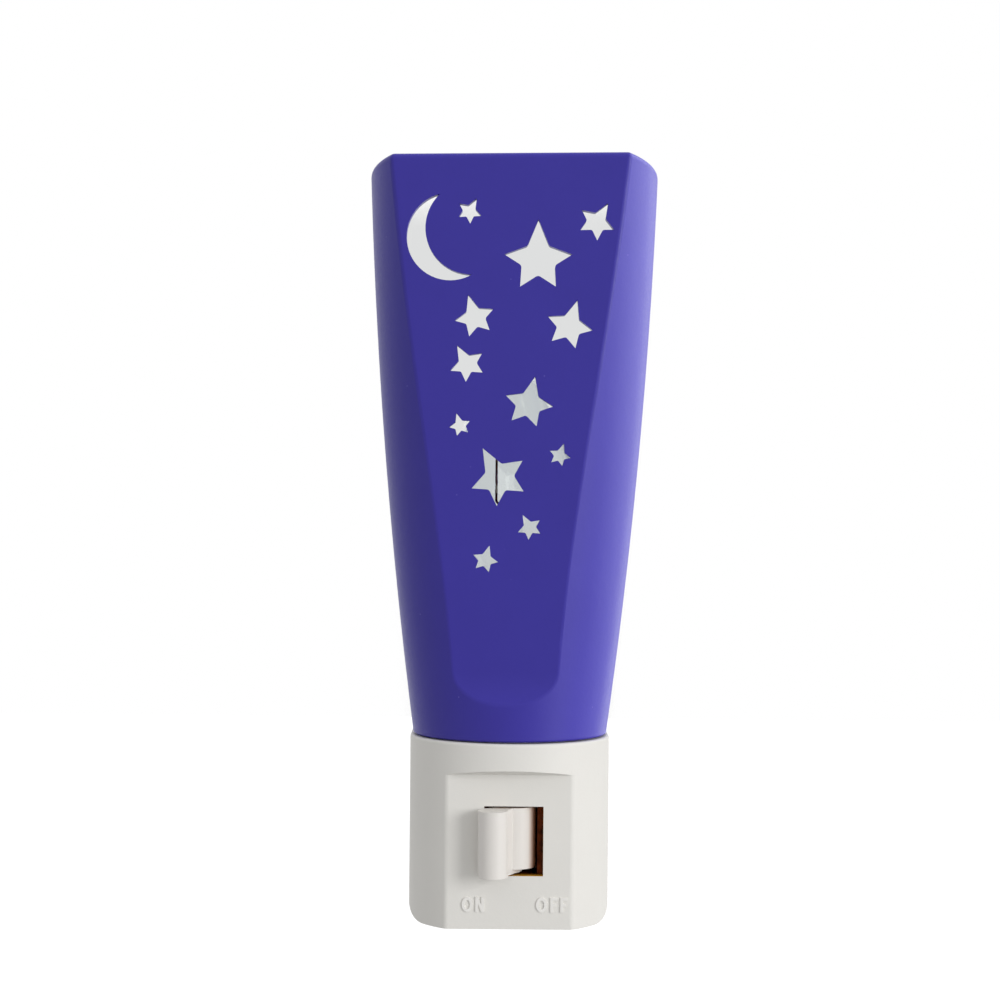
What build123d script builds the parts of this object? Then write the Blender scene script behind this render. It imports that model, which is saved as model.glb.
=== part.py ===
"""A plug-in night light: a violet shade with a cut-out moon and stars over a small screw bulb,
on an off-white base with a swing switch and two plug blades.

Frame: +Z up, the front faces -Y, the wall plate lies on y = 0, and the origin is midway between
the blades on the back face. Depths are measured forward from the wall. Sizes are in millimetres.
"""
from build123d import *
import os
from math import cos, radians, sin, sqrt, tan

os.makedirs("parts", exist_ok=True)

# Base housing
base_width = 32.2
base_height = 29.3
side_depth = 18.0            # straight sides, from the wall to where the round front starts
front_bulge = 13.8           # how far the round front stands ahead of the straight sides
housing_wall = 2.0
base_edge_round = 0.4
inner_corner_round = 0.4     # lower corners of the cavity, seen from the front
panel_setback = 2.9          # flat switch panel behind the foremost point of the round front
panel_drop = 5.1             # top of the flat panel below the top of the base
panel_edge_round = 1.2       # upright edges beside the panel
ledge_slope_rise = 0.95      # rise of the ledge over the panel, from the panel to the round front
part_line_gap = 0.05         # between the two halves of the housing

# Raised letters on the panel
letter_height = 2.3
letter_stroke = 0.45
letter_relief = 0.2
letter_o_share = 0.75        # widths of the letters and their step, as shares of the height
letter_n_share = 0.6
letter_f_share = 0.5
letter_step_share = 0.85
letter_drop = 10.75          # below the middle of the base
letter_spread = 6.2          # each word's middle from the middle of the switch
off_first = -0.9             # places of the letters of OFF along the word, as shares of the step
off_second = 0.1
off_third = 0.9
letter_f_bar = 0.8           # lower bar of the F, as a share of the upper one

# Step that the shade slips over
step_height = 4.0
step_wall = 1.8
shade_fit = 0.2

# Shade
shade_height = 92.8
rim_slope = 9.0              # fall of the rim towards the wall, in degrees
shade_wall = 1.6
shade_foot_inset = 0.5       # foot of the shade inside the edge of the base
shade_foot_gap = 0.2         # shadow line over the base; the shade stands on its lips
shade_mid_half_width = 20.65
shade_mid_bulge = 14.7
shade_top_half_width = 23.3
shade_top_bulge = 19.8
shade_wall_gap = 2.0         # back edges of the shade from the wall
shade_edge_round = 1.0       # top rim and the creases beside the facet
shade_foot_round = 0.4
shade_hook = 2.0             # lips that reach round the back of the step
facet_depth = 29.6           # flat front facet, from the wall
facet_turn = -2.5            # the facet looks a little to the left of straight ahead
facet_foot_height = 11.0     # where the facet starts to run out, above the foot of the shade
facet_foot_radius = 8.5
facet_foot_sweep = 60.0      # how far the arc at the facet's foot turns, past the front of the shade

# Cut-out moon: chord between its tips, and how far each edge bulges from the chord
moon_x = -9.15
moon_height = 79.4           # heights of cut-outs are above the foot of the shade
moon_chord = 13.6
moon_outer_bulge = 7.8
moon_inner_bulge = 4.6
moon_lean = 22.0

# Cut-out stars: across, height, reach of the peak, turn of the peak from +X
stars = [
    (-7.0, 83.1, 2.2, 61),
    (3.75, 75.9, 5.85, 90),
    (12.9, 81.5, 3.25, 59),
    (-6.15, 66.6, 3.5, 107),
    (8.75, 65.3, 4.05, 73),
    (-7.3, 59.25, 3.15, 119),
    (2.5, 53.15, 4.2, 77),
    (-8.3, 49.6, 1.9, 107),
    (-2.25, 41.6, 5.0, 119),
    (7.4, 45.0, 1.9, 71),
    (2.7, 33.7, 2.15, 119),
    (-4.1, 28.6, 2.25, 74),
]
# Every star is one outline: turns from its peak and reaches as shares of the peak's, round one half
star_half = [(0, 1.0), (45, 0.41), (86, 0.91), (117, 0.5), (149, 0.93), (180, 0.49)]
star_inner = 0.7             # corners nearer than this share are the inner ones
star_corner = 0.12           # rounding of the inner corners, as a share of the peak's reach

# Swing switch
switch_across = 0.7          # the switch and its letters, right of the middle of the base
drum_radius = 3.5
drum_end_step = 0.7          # lower end of the drum above the knob's
lever_reach = 8.85           # from the pivot to the front of the knob
knob_radius = 2.35
lever_neck = 3.2             # thickness of the lever between the drum and the knob
lever_height = 10.3
lever_swing = 60.0           # from ON on the left to OFF on the right
lever_drop = 0.85            # middle of the lever below the middle of the base
lever_end_gap = 0.3
window_gap = 0.4
pivot_radius = 1.0
pivot_length = 1.5
pivot_fit = 0.06
saddle_mouth = 1.7           # snap-in mouth of each saddle, narrower than the pivot
saddle_width = 6.0
saddle_thickness = 1.8
saddle_back = 2.6            # saddle behind the pivot's axis
arm_thickness = 1.8
arm_height = 8.0
bridge_thickness = 0.5
bridge_length = 3.1
contact_radius = 1.2
contact_gap = 0.1

# Insulating plate on the inside of the panel, round the drum, on two pegs with pressed heads
plate_width = 14.0
plate_height = 18.8
plate_thickness = 1.0
plate_clearance = 0.25
plate_peg_radius = 0.8
plate_peg_across = 5.5
plate_peg_up = 7.0
plate_head_radius = 1.3
plate_head_height = 0.6

# Plug blades
blade_spacing = 12.7
blade_thickness = 1.5
line_blade_width = 6.35
neutral_blade_width = 7.94
blade_length = 17.0
blade_hole_radius = 1.6
blade_hole_reach = 11.9      # hole from the wall
blade_tip_chamfer = 1.0
blade_fit = 0.1
tab_thickness = 0.75
shoulder_extra = 1.2         # each shoulder beyond the slot, above and below
shoulder_length = 2.0
line_tab_drop = 3.5          # middle of the line blade's inner tab below the blades
line_tab_height = 4.0

# Clamp that holds the blades, on two pegs with pressed heads
clamp_height = 13.0
clamp_thickness = 3.0
clamp_margin = 1.6           # clamp beyond the tabs
clamp_fit = 0.1
peg_radius = 1.2
peg_rise = 4.4               # pegs above and below the middle
peg_head_radius = 1.9
peg_head_height = 0.9

# Cover screws, at two opposite corners
screw_across = 11.6
screw_up = 8.5
screw_radius = 1.45
screw_head_radius = 2.6
screw_head_height = 1.8
screw_drive_length = 3.4
screw_drive_width = 0.6
screw_length = 17.0
screw_recess = 3.0
screw_fit = 0.1
boss_radius = 2.9
recess_wall = 1.0            # round each screw head's recess

# Bulb holder
disc_thickness = 2.0
disc_radius = 8.5
disc_fit = 0.15
ledge_width = 8.0
shell_wall = 0.3
shell_height = 15.5
shell_fit = 0.1
strap_share = 0.5            # how far up the screw shell the neutral strap reaches
tower_wall = 1.6
tower_lip = 1.0
lead_thickness = 0.4
lead_width = 7.0             # of the lamp lead's top, centred on the socket
contact_rise = 3.3           # bulb's contact height above the disc
tongue_width = 4.0
tongue_thickness = 0.4
tongue_half_length = 3.2
tongue_end_reach = 1.9       # free end of the tongue past the bulb's axis
rivet_radius = 1.1
rivet_head_radius = 1.9
rivet_head_height = 0.6

# Bulb
bulb_radius = 11.1
bulb_length = 54.0
bulb_gap = 2.3               # bulb to the inside of the facet
bulb_middle = 31.0           # widest place above the tip contact
glass_wall = 0.6
neck_flare = 0.25            # outward lean of the glass where it leaves the cap
crown_across = 0.55          # a point on the crown, as shares of the belly and of the crown's rise
crown_up = 0.77
neck_depth = 6.0             # glass inside the cap
thread_radius = 5.85
thread_depth = 0.5
thread_pitch = 2.54
thread_clearance = 0.2
thread_crest = 0.7           # width of a thread's crest along the axis
cap_wall = 0.3
cap_height = 14.0
cap_fit = 0.1
tip_radius = 2.4
tip_height = 1.0
insulator_height = 1.5
insulator_plug = 1.5
insulator_rim = 0.4          # insulator showing round the solder tip
stem_flare_rise = 4.0
stem_radius = 1.8
stem_rise = 30.0             # top of the glass press above the tip contact
press_width = 3.8
press_thickness = 2.2
press_height = 5.0
press_round_share = 0.45     # rounding of the press's upright edges, as a share of its thickness
wire_radius = 0.2
press_spread = 0.8           # lead wires from the bulb's axis, inside the press
wire_spread = 2.5            # and above it
wire_crank_rise = 32.2       # where the lead wires stand at that spread
wire_bend_rise = 40.5        # where they turn outward to the filament
wire_top_rise = 42.0
wire_top_spread = 4.2
wire_bend_radius = 0.5
filament_radius = 0.15
filament_arch = 1.0

# Derived places
base_top = base_height / 2
base_bottom = -base_height / 2
half_width = base_width / 2
front_depth = side_depth + front_bulge
panel_depth = front_depth - panel_setback
panel_top = base_top - panel_drop
inner_half = half_width - housing_wall
base_corner_round = inner_corner_round + housing_wall
step_top = base_top + step_height
foot_half = half_width - shade_foot_inset
foot_bulge = front_bulge - shade_foot_inset
step_half = foot_half - shade_wall - shade_fit
step_bulge = foot_bulge - shade_wall - shade_fit
step_back = shade_wall_gap + shade_wall + shade_fit
shade_foot = base_top + shade_foot_gap
shade_top = base_top + shade_height
socket_depth = facet_depth - shade_wall - bulb_gap - bulb_radius

swing_half = radians(lever_swing / 2)
pivot_depth = panel_depth - drum_radius
lever_z = -lever_drop
# Half of the window: what the neck and the knob reach at the panel's face, at either end of the swing
knob_place = lever_reach - knob_radius
knob_ahead = knob_place * cos(swing_half) - drum_radius
knob_chord = sqrt(max(knob_radius ** 2 - knob_ahead ** 2, 0))
neck_edge = drum_radius * tan(swing_half) + lever_neck / 2 / cos(swing_half)
window_half = max(knob_place * sin(swing_half) + knob_chord, neck_edge) + window_gap
window_height = lever_height + 2 * lever_end_gap
saddle_z = lever_height / 2 + lever_end_gap
panel_inside = panel_depth - housing_wall
plate_back = panel_inside - plate_thickness

blade_x = blade_spacing / 2
shoulder_front = housing_wall + shoulder_length
clamp_front = shoulder_front + clamp_thickness

# The bridge plate lies this far off the arm's middle, and meets the studs at this reach from the pivot
bridge_face = arm_thickness / 2 + bridge_thickness
stud_stand = bridge_face + contact_radius + contact_gap
contact_reach = (blade_x - switch_across - stud_stand * cos(swing_half)) / sin(swing_half)
stud_depth = pivot_depth - contact_reach * cos(swing_half) + stud_stand * sin(swing_half)
arm_reach = contact_reach + contact_radius
tab_front = stud_depth + contact_radius + tab_thickness

recess_radius = screw_head_radius + screw_fit + recess_wall
recess_end = screw_recess + housing_wall

disc_top = step_top - step_wall
disc_bottom = disc_top - disc_thickness
shell_inner = thread_radius + thread_clearance
shell_outer = shell_inner + shell_wall
shell_top = disc_top + shell_height
bore_radius = shell_outer + shell_fit
tower_radius = bore_radius + tower_wall
tower_top = shell_top + tower_lip
contact_z = disc_top + contact_rise
cap_bottom = contact_z + tip_height + insulator_height
cap_top = cap_bottom + cap_height
neck_radius = thread_radius - thread_depth - cap_wall - cap_fit
bulb_top = contact_z + bulb_length
lead_bottom = disc_bottom - lead_thickness
lamp_stud_z = lever_z + arm_height / 2 - contact_radius
socket = Pos(0, -socket_depth, 0)
switch = Pos(switch_across, 0, 0)
through = 2 * (base_width + front_depth)      # longer than anything that is cut
over = 1.0                   # cutters and roots run past the faces that they meet
same = 0.05                  # places closer than this are one place


def d_face(half, back, side, bulge):
    """Flat back, straight sides and a half-ellipse front, seen from above."""
    front = EllipticalCenterArc((0, -side), half, bulge, 180, arc_size=180)
    sides = Polyline((half, -side), (half, -back), (-half, -back), (-half, -side))
    return make_face(front.edges() + sides.edges())


def d_block(half, back, side, bulge, low, high):
    return Pos(0, 0, low) * extrude(d_face(half, back, side, bulge), high - low)


def block(x0, x1, near, far, z0, z1):
    """A box between two depths from the wall."""
    return Pos((x0 + x1) / 2, -(near + far) / 2, (z0 + z1) / 2) * Box(
        abs(x1 - x0), abs(far - near), abs(z1 - z0))


def rod_y(x, z, radius, near, far):
    """A round rod along the depth."""
    return Pos(x, -(near + far) / 2, z) * Rot(90, 0, 0) * Cylinder(radius, abs(far - near))


def upright(radius, z0, z1, depth):
    return Pos(0, -depth, (z0 + z1) / 2) * Cylinder(radius, z1 - z0)


def letter_o(x):
    width = letter_o_share * letter_height
    ring = Ellipse(width / 2, letter_height / 2) - Ellipse(
        width / 2 - letter_stroke, letter_height / 2 - letter_stroke)
    return Pos(x, 0) * ring


def letter_n(x):
    half, top = letter_n_share * letter_height / 2, letter_height / 2
    slant = Polyline((-half, top), (letter_stroke - half, top), (half, -top),
                     (half - letter_stroke, -top), close=True)
    posts = [Pos(side * (half - letter_stroke / 2), 0) * Rectangle(letter_stroke, letter_height)
             for side in (-1, 1)]
    return Pos(x, 0) * (make_face(slant) + posts)


def letter_f(x):
    width, top = letter_f_share * letter_height, letter_height / 2
    post = Pos(letter_stroke / 2, 0) * Rectangle(letter_stroke, letter_height)
    bars = [Pos(reach * width / 2, y) * Rectangle(reach * width, letter_stroke)
            for reach, y in ((1.0, top - letter_stroke / 2), (letter_f_bar, 0.0))]
    return Pos(x - width / 2, 0) * (post + bars)


def letters():
    """ON on the left and OFF on the right, raised from the panel."""
    step = letter_step_share * letter_height
    words = [letter_o(-letter_spread - step / 2),
             letter_n(-letter_spread + step / 2),
             letter_o(letter_spread + off_first * step),
             letter_f(letter_spread + off_second * step),
             letter_f(letter_spread + off_third * step)]
    plane = Plane((switch_across, -panel_depth, -letter_drop), x_dir=(1, 0, 0), z_dir=(0, -1, 0))
    solid = [extrude(plane * word, letter_relief) for word in words]
    root = [extrude(plane * word, -letter_relief) for word in words]
    return solid + root


def lower_corners(inset):
    """What is cut away beside the two round lower corners of the base, all along its depth."""
    x, z = half_width - base_corner_round, base_bottom + base_corner_round
    size = base_corner_round + over
    waste = Pos(x + size / 2, z - size / 2) * Rectangle(size, size)
    waste -= Pos(x, z) * Circle(base_corner_round - inset)
    right = extrude(Plane.XZ * waste, through, both=True)
    return [right, mirror(right, Plane.YZ)]


def panel_cut():
    """All that lies ahead of the flat panel, under a ledge that slopes up towards the front."""
    slope = ledge_slope_rise / panel_setback
    low, reach = base_bottom - over, panel_setback + over
    side = Polyline((-panel_depth, low), (-panel_depth, panel_top),
                    (-panel_depth - reach, panel_top + slope * reach),
                    (-panel_depth - reach, low), close=True)
    return extrude(Plane.YZ * make_face(side), through, both=True)


def base_body():
    """The closed housing, before it is parted: shell, step, tower and cavity."""
    body = d_block(half_width, 0, side_depth, front_bulge, base_bottom, base_top)
    body -= panel_cut()
    beside = body.edges().filter_by(lambda e: abs(e.center().Y + panel_depth) < same
                                    and abs(e.center().X) > over)
    body = fillet(beside, panel_edge_round)
    rims = body.edges().filter_by(lambda e: abs(e.center().Z - base_top) < same
                                  and e.center().Y < -same)
    corners = body.edges().filter_by(Axis.Z).filter_by(lambda e: abs(e.center().Y) < same)
    body = fillet(rims + corners, base_edge_round) - lower_corners(0)
    body += d_block(step_half, step_back, side_depth, step_bulge, base_top - over, step_top)
    body += upright(tower_radius, step_top - step_wall, tower_top, socket_depth)

    inside = d_block(inner_half, housing_wall, side_depth, front_bulge - housing_wall,
                     base_bottom + housing_wall, base_top - housing_wall)
    inside -= block(-through, through, panel_inside, through, base_bottom, panel_top + housing_wall)
    inside -= lower_corners(housing_wall)
    inside += d_block(step_half - step_wall, step_back + step_wall, side_depth,
                      step_bulge - step_wall, base_top - housing_wall - over, disc_top)
    inside += upright(bore_radius, disc_bottom, shell_top, socket_depth)
    inside += upright(shell_outer - shell_wall, shell_top - over, tower_top + over, socket_depth)
    inside += strap_pocket()
    return body - inside


def strap_pocket():
    """Room beside the screw shell for the neutral strap."""
    gap = shell_fit
    return block(-shell_outer - tab_thickness - 2 * gap, 0, socket_depth - tongue_width / 2 - gap,
                 socket_depth + tongue_width / 2 + gap, disc_bottom, strap_top() + gap)


def strap_top():
    return disc_top + strap_share * shell_height


def screw_places():
    return [(-screw_across, screw_up), (screw_across, -screw_up)]


def saddle(z0, z1):
    """A shelf behind the panel with a snap-in seat for one end of the lever's pivot."""
    shelf = block(-saddle_width / 2, saddle_width / 2, pivot_depth - saddle_back,
                  panel_depth - housing_wall / 2, z0, z1)
    seat = upright(pivot_radius + pivot_fit, z0 - over, z1 + over, pivot_depth)
    mouth = block(-saddle_mouth / 2, saddle_mouth / 2, pivot_depth - through, pivot_depth,
                  z0 - over, z1 + over)
    return shelf - seat - mouth


def ledge(near, far):
    """A shelf under one edge of the socket disc."""
    return block(-ledge_width / 2, ledge_width / 2, near, far, disc_bottom - housing_wall, disc_bottom)


def make_front_housing():
    front = base_body() & block(-through, through, socket_depth + part_line_gap / 2, through,
                                base_bottom - over, tower_top + over)
    inside = d_block(half_width - housing_wall / 2, 0, side_depth, front_bulge - housing_wall / 2,
                     base_bottom + over, base_top - over)
    for x, z in screw_places():
        front += rod_y(x, z, boss_radius, socket_depth + part_line_gap / 2, front_depth) & inside
    for x, z in screw_places():
        front -= rod_y(x, z, screw_radius + screw_fit, 0, screw_recess + screw_length + screw_fit)
    front += switch * saddle(lever_z + saddle_z, lever_z + saddle_z + saddle_thickness)
    front += switch * saddle(lever_z - saddle_z - saddle_thickness, lever_z - saddle_z)
    front += ledge(socket_depth + disc_radius - housing_wall, side_depth + step_bulge - step_wall / 2)
    front -= switch * block(-window_half, window_half, pivot_depth, through,
                            lever_z - window_height / 2, lever_z + window_height / 2)
    for x, z in plate_pegs():
        front += rod_y(x, z, plate_peg_radius, plate_back, panel_depth - housing_wall / 2)
        front += rod_y(x, z, plate_head_radius, plate_back - plate_head_height, plate_back)
    return front + letters()


def plate_pegs():
    return [(switch_across + side * plate_peg_across, lever_z + side * plate_peg_up) for side in (-1, 1)]


def make_switch_plate():
    """A frame that lines the panel and shows in the gap beside the drum."""
    plate = switch * block(-plate_width / 2, plate_width / 2, plate_back, panel_inside,
                           lever_z - plate_height / 2, lever_z + plate_height / 2)
    across = drum_radius + plate_clearance
    up = saddle_z + saddle_thickness + plate_clearance
    plate -= switch * block(-across, across, 0, through, lever_z - up, lever_z + up)
    for x, z in plate_pegs():
        plate -= rod_y(x, z, plate_peg_radius + clamp_fit, 0, through)
    return plate


def blade_slot(x, width):
    return block(x - blade_thickness / 2 - blade_fit, x + blade_thickness / 2 + blade_fit, -over,
                 housing_wall + over, -width / 2 - blade_fit, width / 2 + blade_fit)


def make_rear_housing():
    rear = base_body() & block(-through, through, -over, socket_depth - part_line_gap / 2,
                               base_bottom - over, tower_top + over)
    inside = block(-half_width + over, half_width - over, housing_wall / 2, socket_depth,
                   base_bottom + over, base_top - over)
    for x, z in screw_places():
        rear += rod_y(x, z, recess_radius, housing_wall / 2, recess_end) & inside
        rear += rod_y(x, z, boss_radius, housing_wall / 2, socket_depth - part_line_gap / 2) & inside
    for x, z in screw_places():
        rear -= rod_y(x, z, screw_radius + screw_fit, -over, socket_depth + over)
        rear -= rod_y(x, z, screw_head_radius + screw_fit, -over, screw_recess)
    rear += ledge(step_back + step_wall / 2, socket_depth - disc_radius + housing_wall)
    for side in (-1, 1):
        rear += rod_y(0, side * peg_rise, peg_radius, housing_wall / 2, clamp_front)
        rear += rod_y(0, side * peg_rise, peg_head_radius, clamp_front, clamp_front + peg_head_height)
    rear -= blade_slot(blade_x, line_blade_width)
    rear -= blade_slot(-blade_x, neutral_blade_width)
    return rear


def make_cover_screws():
    screws = []
    for x, z in screw_places():
        head = rod_y(x, z, screw_head_radius, screw_recess - screw_head_height, screw_recess)
        shank = rod_y(x, z, screw_radius, screw_recess, screw_recess + screw_length)
        top = screw_recess - screw_head_height
        wide, thin = screw_drive_length / 2, screw_drive_width / 2
        for across, up in ((wide, thin), (thin, wide)):
            head -= block(x - across, x + across, top - over, top + screw_head_height / 2, z - up, z + up)
        screws.append(head + shank)
    return Compound(children=screws)


def blade(x, width):
    """The part outside the wall, the part in the slot and the shoulder behind it."""
    prong = block(x - blade_thickness / 2, x + blade_thickness / 2, -blade_length, housing_wall,
                  -width / 2, width / 2)
    tip = prong.edges().filter_by(lambda e: e.center().Y > blade_length - same)
    prong = chamfer(tip.filter_by(Axis.X), blade_tip_chamfer)
    hole = Pos(x, blade_hole_reach, 0) * Rot(0, 90, 0) * Cylinder(blade_hole_radius, 2 * blade_thickness)
    shoulder = block(x - blade_thickness / 2, x + blade_thickness / 2, housing_wall, shoulder_front,
                     -width / 2 - shoulder_extra, width / 2 + shoulder_extra)
    return prong - hole + shoulder


def make_line_blade():
    tab = block(blade_x, blade_x + tab_thickness, housing_wall, tab_front,
                -line_tab_drop - line_tab_height / 2, -line_tab_drop + line_tab_height / 2)
    return blade(blade_x, line_blade_width) + tab


def make_neutral_blade():
    tab = block(-blade_x - tab_thickness, -blade_x, housing_wall, socket_depth + tongue_width / 2,
                -line_tab_height / 2, line_tab_height / 2)
    return blade(-blade_x, neutral_blade_width) + tab


def make_neutral_strap():
    """A strip from the neutral blade's tab up the side of the screw shell."""
    near, far = socket_depth - tongue_width / 2, socket_depth + tongue_width / 2
    side = -shell_outer
    jog = line_tab_height / 2
    foot = block(-blade_x, -blade_x + tab_thickness, near, far, -line_tab_height / 2, jog + tab_thickness)
    bend = block(min(-blade_x, side - tab_thickness), max(-blade_x + tab_thickness, side), near, far,
                 jog, jog + tab_thickness)
    leg = block(side - tab_thickness, side, near, far, jog, strap_top())
    return foot + bend + leg


def make_blade_clamp():
    half = blade_x + tab_thickness + clamp_margin
    plate = block(-half, half, shoulder_front, clamp_front, -clamp_height / 2, clamp_height / 2)
    gap = clamp_fit
    for side, low, high in ((1, -line_tab_drop - line_tab_height / 2, -line_tab_drop + line_tab_height / 2),
                            (-1, -line_tab_height / 2, line_tab_height / 2)):
        plate -= block(side * (blade_x - gap), side * (blade_x + tab_thickness + gap), 0, through,
                       low - gap, high + gap)
        plate -= rod_y(0, side * peg_rise, peg_radius + gap, 0, through)
    for x, z in screw_places():
        plate -= rod_y(x, z, recess_radius + gap, 0, through)
    return plate


def stud_heights():
    """The line stud below and the lamp stud above, both against the bridge plate."""
    return [-line_tab_drop, lamp_stud_z]


def make_contact_studs():
    studs = []
    for z in stud_heights():
        ball = Pos(blade_x, -stud_depth, z) * Sphere(contact_radius)
        studs.append(ball & block(0, blade_x, 0, through, -through, through))
    return Compound(children=studs)


def make_lamp_lead():
    """From the rivet under the socket disc, across and down to the upper stud."""
    near, far = socket_depth - lead_width / 2, socket_depth + lead_width / 2
    top = block(-rivet_head_radius - over, blade_x + lead_thickness, near, far, lead_bottom, disc_bottom)
    drop = block(blade_x, blade_x + lead_thickness, near, max(far, tab_front),
                 lamp_stud_z - contact_radius, disc_bottom)
    return top + drop - upright(rivet_radius, lead_bottom - over, disc_bottom + over, socket_depth)


def make_socket_disc():
    disc = upright(disc_radius, disc_bottom, disc_top, socket_depth)
    disc &= d_block(step_half - step_wall - disc_fit, step_back + step_wall + disc_fit, side_depth,
                    step_bulge - step_wall - disc_fit, disc_bottom, disc_top)
    gap = shell_fit
    disc -= block(-through, -shell_outer + gap, socket_depth - tongue_width / 2 - gap,
                  socket_depth + tongue_width / 2 + gap, disc_bottom - over, disc_top + over)
    return disc - upright(rivet_radius, disc_bottom - over, disc_top + over, socket_depth)


def make_centre_contact():
    """A bent spring tongue: a foot on the disc, one turn up, and the end under the bulb."""
    low = disc_top + tongue_thickness / 2
    high = contact_z - contact_gap - tongue_thickness / 2
    bend = (high - low) / 2
    reach = tongue_half_length
    path = [Line((reach, low), (-reach + bend, low)),
            ThreePointArc((-reach + bend, low), (-reach, low + bend), (-reach + bend, high)),
            Line((-reach + bend, high), (tongue_end_reach, high))]
    strip = trace(path, tongue_thickness)
    plane = Plane((0, -socket_depth + tongue_width / 2, 0), x_dir=(1, 0, 0), z_dir=(0, -1, 0))
    tongue = extrude(plane * strip, tongue_width)
    return tongue - upright(rivet_radius, disc_top - over, low + tongue_thickness, socket_depth)


def make_contact_rivet():
    foot = disc_top + tongue_thickness
    shank = upright(rivet_radius, lead_bottom, foot, socket_depth)
    upper = upright(rivet_head_radius, foot, foot + rivet_head_height, socket_depth)
    lower = upright(rivet_head_radius, lead_bottom - rivet_head_height, lead_bottom, socket_depth)
    return shank + upper + lower


def thread(radius_in, radius_out, width_in, width_out, start, length):
    """One helical ridge on the socket's axis; its section runs from one radius to another."""
    helix = Helix(thread_pitch, length, radius_in, (0, 0, start))
    plane = Plane(helix @ 0, x_dir=(1, 0, 0), z_dir=helix % 0)
    rise = radius_out - radius_in
    section = make_face(Polyline((0, -width_in / 2), (rise, -width_out / 2), (rise, width_out / 2),
                                 (0, width_in / 2), close=True))
    return socket * sweep(plane * section, path=helix, is_frenet=True)


def make_screw_shell():
    """Thin brass tube with the thread standing inward."""
    tube = upright(shell_outer, disc_top, shell_top, socket_depth)
    tube -= upright(shell_inner, disc_top - over, shell_top + over, socket_depth)
    crest = thread_radius - thread_depth + thread_clearance
    wide = thread_crest + 2 * (shell_inner - crest)
    turns = int((shell_height - 2 * thread_pitch) / thread_pitch)
    start = disc_top + thread_pitch
    ridge = thread(shell_inner + shell_wall / 2, crest, wide, thread_crest, start, turns * thread_pitch)
    return tube + ridge


def make_bulb_cap():
    """Thin brass cap with the thread standing outward, half a pitch off the shell's."""
    root = thread_radius - thread_depth
    cap = upright(root, cap_bottom, cap_top, socket_depth)
    cap -= upright(root - cap_wall, cap_bottom - over, cap_top + over, socket_depth)
    wide = thread_crest + 2 * thread_depth
    shell_start = disc_top + thread_pitch
    skipped = int((cap_bottom - shell_start) / thread_pitch) + 1
    start = shell_start + (skipped + 0.5) * thread_pitch
    turns = int((cap_top - start) / thread_pitch) - 1
    ridge = thread(root - cap_wall / 2, thread_radius, wide, thread_crest, start, turns * thread_pitch)
    return cap + ridge


def make_bulb_insulator():
    bore = thread_radius - thread_depth - cap_wall
    low = contact_z + tip_height
    high = cap_bottom + insulator_plug
    cone = Polyline((0, low), (tip_radius + insulator_rim, low), (bore + cap_wall / 2, cap_bottom),
                    (bore, cap_bottom), (bore, high), (0, high), close=True)
    return spin(cone)


def spin(outline):
    """Turn a radius and height outline about the bulb's axis."""
    return socket * revolve(Plane.XZ * make_face(outline), Axis.Z)


def make_bulb_tip():
    top, brim = contact_z + tip_height, contact_z + tip_height / 2
    dome = [EllipticalCenterArc((0, brim), tip_radius, tip_height / 2, 270, arc_size=90),
            Polyline((tip_radius, brim), (tip_radius, top), (0, top), (0, contact_z))]
    return spin([edge for part in dome for edge in part.edges()])


def glass_outline(shrink):
    """Half outline of the glass: straight neck, full belly and a pointed top."""
    neck = neck_radius - shrink
    belly = bulb_radius - shrink
    foot = cap_top - neck_depth
    middle = contact_z + bulb_middle
    top = bulb_top - shrink
    rise = top - middle
    swell = Spline((neck, cap_top), (belly, middle), tangents=[(neck_flare, 1), (0, 1)])
    shoulder = (crown_across * belly, middle + crown_up * rise)
    crown = Spline((belly, middle), shoulder, (0, top), tangents=[(0, 1), (-1, 0)])
    return [Line((0, foot), (neck, foot)),
            Line((neck, foot), (neck, cap_top)),
            swell,
            crown,
            Line((0, top), (0, foot))]


def make_bulb_glass():
    hollow = spin(glass_outline(glass_wall))
    return spin(glass_outline(0)) - hollow


def wire_path(side):
    """One lead wire: out of the press, cranked apart, up, and outward to the filament."""
    press_top = contact_z + stem_rise
    return FilletPolyline((side * press_spread, press_top - press_height / 2),
                          (side * press_spread, press_top + wire_radius),
                          (side * wire_spread, contact_z + wire_crank_rise),
                          (side * wire_spread, contact_z + wire_bend_rise),
                          (side * wire_top_spread, contact_z + wire_top_rise), radius=wire_bend_radius)


def tube_along(path, radius):
    curve = Plane.XZ * path
    section = Plane(curve @ 0, z_dir=curve % 0) * Circle(radius)
    return socket * sweep(section, path=curve)


def make_lead_wires():
    return Compound(children=[tube_along(wire_path(side), wire_radius) for side in (-1, 1)])


def make_filament():
    """An arch from the top of one lead wire to the other."""
    top = contact_z + wire_top_rise + wire_radius
    arch = ThreePointArc((-wire_top_spread, top), (0, top + filament_arch), (wire_top_spread, top))
    return tube_along(arch, filament_radius)


def make_glass_stem():
    """A flared foot closing the neck, a thin tube and the flat press that holds the wires."""
    foot = cap_top - neck_depth
    bore = neck_radius - glass_wall - cap_fit
    press_top = contact_z + stem_rise
    press_low = press_top - press_height
    flare = Polyline((0, foot), (bore, foot), (bore, foot + glass_wall),
                     (stem_radius, foot + stem_flare_rise), (stem_radius, press_low + over),
                     (0, press_low + over), close=True)
    press = Box(press_width, press_thickness, press_height)
    press = fillet(press.edges().filter_by(Axis.Z), press_round_share * press_thickness)
    press = Pos(0, -socket_depth, press_top - press_height / 2) * press
    return spin(flare) + press - make_lead_wires()


def knob_outline():
    """The neck from the pivot forward and the round knob at its end, seen from above."""
    neck = Pos(0, -knob_place / 2) * Rectangle(lever_neck, knob_place)
    return neck + Pos(0, -knob_place) * Circle(knob_radius)


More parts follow.
